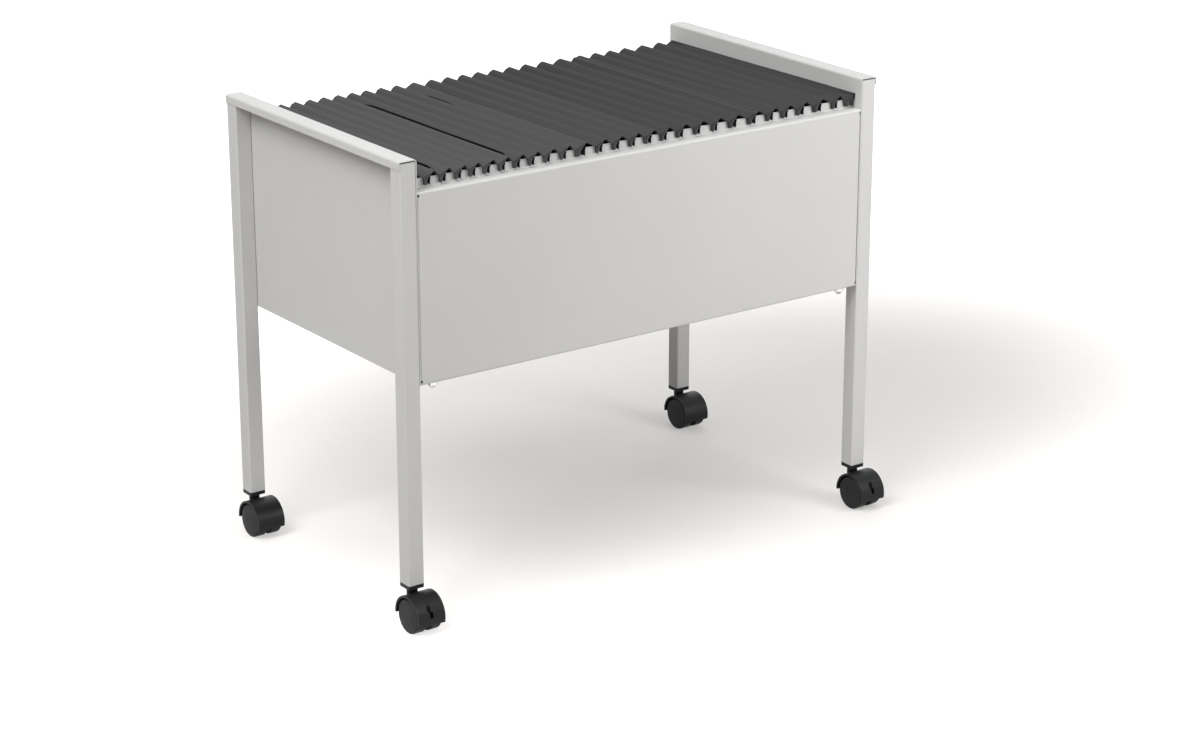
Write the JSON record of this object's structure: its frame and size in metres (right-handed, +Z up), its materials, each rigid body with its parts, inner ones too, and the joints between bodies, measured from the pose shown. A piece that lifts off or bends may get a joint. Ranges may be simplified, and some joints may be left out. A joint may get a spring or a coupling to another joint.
{
  "type": "mobile file cart",
  "caption": "Open steel file cart on square tube legs and twin-wheel swivel casters, braked at the front; a row of dark hanging files sits on rails between folded end panels.",
  "frame": {"origin": "on the floor under the middle of the cart's footprint, casters trailing to the front included", "axes": "+X along the row of files, to the right seen from the front; +Y from the front, where the braked casters are, to the back; +Z up"},
  "size_m": [0.673, 0.4014, 0.535],
  "materials": {
    "frame_paint": "satin light grey powder coat",
    "black_plastic": "moulded black, slight sheen",
    "wheel_plastic": "moulded black, satin discs",
    "bright_steel": "zinc plated",
    "file_card": "matte dark grey"
  },
  "bodies": {
    "frame": {"leg_front_left": "frame_paint", "leg_front_right": "frame_paint", "leg_rear_left": "frame_paint", "leg_rear_right": "frame_paint", "end_panel_left": "frame_paint", "end_panel_right": "frame_paint", "front_panel": "frame_paint", "back_panel": "frame_paint", "base_tray": "frame_paint", "corner_screws": "bright_steel", "panel_rivets": "bright_steel", "leg_plugs": "black_plastic", "caster_stems": "bright_steel"},
    "caster_front_left": {"caster_hood_front_left": "black_plastic", "caster_axle_front_left": "bright_steel"},
    "caster_front_right": {"caster_hood_front_right": "black_plastic", "caster_axle_front_right": "bright_steel"},
    "caster_rear_left": {"caster_hood_rear_left": "black_plastic", "caster_axle_rear_left": "bright_steel"},
    "caster_rear_right": {"caster_hood_rear_right": "black_plastic", "caster_axle_rear_right": "bright_steel"},
    "wheel_left_front_left": {"caster_wheel_left_front_left": "wheel_plastic"},
    "wheel_right_front_left": {"caster_wheel_right_front_left": "wheel_plastic"},
    "wheel_left_front_right": {"caster_wheel_left_front_right": "wheel_plastic"},
    "wheel_right_front_right": {"caster_wheel_right_front_right": "wheel_plastic"},
    "wheel_left_rear_left": {"caster_wheel_left_rear_left": "wheel_plastic"},
    "wheel_right_rear_left": {"caster_wheel_right_rear_left": "wheel_plastic"},
    "wheel_left_rear_right": {"caster_wheel_left_rear_right": "wheel_plastic"},
    "wheel_right_rear_right": {"caster_wheel_right_rear_right": "wheel_plastic"},
    "brake_front_left": {"brake_lever_front_left": "black_plastic"},
    "brake_front_right": {"brake_lever_front_right": "black_plastic"},
    "file_01": {"file_01": "file_card"},
    "file_02": {"file_02": "file_card"},
    "file_03": {"file_03": "file_card"},
    "file_04": {"file_04": "file_card"},
    "file_05": {"file_05": "file_card"},
    "file_06": {"file_06": "file_card"},
    "file_07": {"file_07": "file_card"},
    "file_08": {"file_08": "file_card"},
    "file_09": {"file_09": "file_card"},
    "file_10": {"file_10": "file_card"},
    "file_11": {"file_11": "file_card"},
    "file_12": {"file_12": "file_card"},
    "file_13": {"file_13": "file_card"},
    "file_14": {"file_14": "file_card"},
    "file_15": {"file_15": "file_card"},
    "file_16": {"file_16": "file_card"},
    "file_17": {"file_17": "file_card"},
    "file_18": {"file_18": "file_card"},
    "file_19": {"file_19": "file_card"},
    "file_20": {"file_20": "file_card"},
    "file_21": {"file_21": "file_card"},
    "file_22": {"file_22": "file_card"},
    "file_23": {"file_23": "file_card"},
    "file_24": {"file_24": "file_card"},
    "file_25": {"file_25": "file_card"},
    "file_26": {"file_26": "file_card"},
    "file_27": {"file_27": "file_card"}
  },
  "joints": [
    {"name": "swivel_front_left", "type": "hinge", "parent": "frame", "child": "caster_front_left", "pos_m": [-0.319, -0.15934, 0.047], "axis": [0, 0, 1], "continuous": true},
    {"name": "swivel_front_right", "type": "hinge", "parent": "frame", "child": "caster_front_right", "pos_m": [0.319, -0.15934, 0.047], "axis": [0, 0, 1], "continuous": true},
    {"name": "swivel_rear_left", "type": "hinge", "parent": "frame", "child": "caster_rear_left", "pos_m": [-0.319, 0.19066, 0.047], "axis": [0, 0, 1], "continuous": true},
    {"name": "swivel_rear_right", "type": "hinge", "parent": "frame", "child": "caster_rear_right", "pos_m": [0.319, 0.19066, 0.047], "axis": [0, 0, 1], "continuous": true},
    {"name": "spin_left_front_left", "type": "hinge", "parent": "caster_front_left", "child": "wheel_left_front_left", "pos_m": [-0.3298, -0.17534, 0.02], "axis": [1, 0, 0], "continuous": true},
    {"name": "spin_right_front_left", "type": "hinge", "parent": "caster_front_left", "child": "wheel_right_front_left", "pos_m": [-0.3082, -0.17534, 0.02], "axis": [1, 0, 0], "continuous": true},
    {"name": "spin_left_front_right", "type": "hinge", "parent": "caster_front_right", "child": "wheel_left_front_right", "pos_m": [0.3082, -0.17534, 0.02], "axis": [1, 0, 0], "continuous": true},
    {"name": "spin_right_front_right", "type": "hinge", "parent": "caster_front_right", "child": "wheel_right_front_right", "pos_m": [0.3298, -0.17534, 0.02], "axis": [1, 0, 0], "continuous": true},
    {"name": "spin_left_rear_left", "type": "hinge", "parent": "caster_rear_left", "child": "wheel_left_rear_left", "pos_m": [-0.3298, 0.17466, 0.02], "axis": [1, 0, 0], "continuous": true},
    {"name": "spin_right_rear_left", "type": "hinge", "parent": "caster_rear_left", "child": "wheel_right_rear_left", "pos_m": [-0.3082, 0.17466, 0.02], "axis": [1, 0, 0], "continuous": true},
    {"name": "spin_left_rear_right", "type": "hinge", "parent": "caster_rear_right", "child": "wheel_left_rear_right", "pos_m": [0.3082, 0.17466, 0.02], "axis": [1, 0, 0], "continuous": true},
    {"name": "spin_right_rear_right", "type": "hinge", "parent": "caster_rear_right", "child": "wheel_right_rear_right", "pos_m": [0.3298, 0.17466, 0.02], "axis": [1, 0, 0], "continuous": true},
    {"name": "brake_front_left", "type": "hinge", "parent": "caster_front_left", "child": "brake_front_left", "pos_m": [-0.319, -0.17534, 0.02], "axis": [1, 0, 0], "range_deg": [0, 20]},
    {"name": "brake_front_right", "type": "hinge", "parent": "caster_front_right", "child": "brake_front_right", "pos_m": [0.319, -0.17534, 0.02], "axis": [1, 0, 0], "range_deg": [0, 20]},
    {"name": "lift_file_01", "type": "slide", "parent": "frame", "child": "file_01", "axis": [0, 0, 1], "range_m": [0, 0.25]},
    {"name": "lift_file_02", "type": "slide", "parent": "frame", "child": "file_02", "axis": [0, 0, 1], "range_m": [0, 0.25]},
    {"name": "lift_file_03", "type": "slide", "parent": "frame", "child": "file_03", "axis": [0, 0, 1], "range_m": [0, 0.25]},
    {"name": "lift_file_04", "type": "slide", "parent": "frame", "child": "file_04", "axis": [0, 0, 1], "range_m": [0, 0.25]},
    {"name": "lift_file_05", "type": "slide", "parent": "frame", "child": "file_05", "axis": [0, 0, 1], "range_m": [0, 0.25]},
    {"name": "lift_file_06", "type": "slide", "parent": "frame", "child": "file_06", "axis": [0, 0, 1], "range_m": [0, 0.25]},
    {"name": "lift_file_07", "type": "slide", "parent": "frame", "child": "file_07", "axis": [0, 0, 1], "range_m": [0, 0.25]},
    {"name": "lift_file_08", "type": "slide", "parent": "frame", "child": "file_08", "axis": [0, 0, 1], "range_m": [0, 0.25]},
    {"name": "lift_file_09", "type": "slide", "parent": "frame", "child": "file_09", "axis": [0, 0, 1], "range_m": [0, 0.25]},
    {"name": "lift_file_10", "type": "slide", "parent": "frame", "child": "file_10", "axis": [0, 0, 1], "range_m": [0, 0.25]},
    {"name": "lift_file_11", "type": "slide", "parent": "frame", "child": "file_11", "axis": [0, 0, 1], "range_m": [0, 0.25]},
    {"name": "lift_file_12", "type": "slide", "parent": "frame", "child": "file_12", "axis": [0, 0, 1], "range_m": [0, 0.25]},
    {"name": "lift_file_13", "type": "slide", "parent": "frame", "child": "file_13", "axis": [0, 0, 1], "range_m": [0, 0.25]},
    {"name": "lift_file_14", "type": "slide", "parent": "frame", "child": "file_14", "axis": [0, 0, 1], "range_m": [0, 0.25]},
    {"name": "lift_file_15", "type": "slide", "parent": "frame", "child": "file_15", "axis": [0, 0, 1], "range_m": [0, 0.25]},
    {"name": "lift_file_16", "type": "slide", "parent": "frame", "child": "file_16", "axis": [0, 0, 1], "range_m": [0, 0.25]},
    {"name": "lift_file_17", "type": "slide", "parent": "frame", "child": "file_17", "axis": [0, 0, 1], "range_m": [0, 0.25]},
    {"name": "lift_file_18", "type": "slide", "parent": "frame", "child": "file_18", "axis": [0, 0, 1], "range_m": [0, 0.25]},
    {"name": "lift_file_19", "type": "slide", "parent": "frame", "child": "file_19", "axis": [0, 0, 1], "range_m": [0, 0.25]},
    {"name": "lift_file_20", "type": "slide", "parent": "frame", "child": "file_20", "axis": [0, 0, 1], "range_m": [0, 0.25]},
    {"name": "lift_file_21", "type": "slide", "parent": "frame", "child": "file_21", "axis": [0, 0, 1], "range_m": [0, 0.25]},
    {"name": "lift_file_22", "type": "slide", "parent": "frame", "child": "file_22", "axis": [0, 0, 1], "range_m": [0, 0.25]},
    {"name": "lift_file_23", "type": "slide", "parent": "frame", "child": "file_23", "axis": [0, 0, 1], "range_m": [0, 0.25]},
    {"name": "lift_file_24", "type": "slide", "parent": "frame", "child": "file_24", "axis": [0, 0, 1], "range_m": [0, 0.25]},
    {"name": "lift_file_25", "type": "slide", "parent": "frame", "child": "file_25", "axis": [0, 0, 1], "range_m": [0, 0.25]},
    {"name": "lift_file_26", "type": "slide", "parent": "frame", "child": "file_26", "axis": [0, 0, 1], "range_m": [0, 0.25]},
    {"name": "lift_file_27", "type": "slide", "parent": "frame", "child": "file_27", "axis": [0, 0, 1], "range_m": [0, 0.25]}
  ]
}
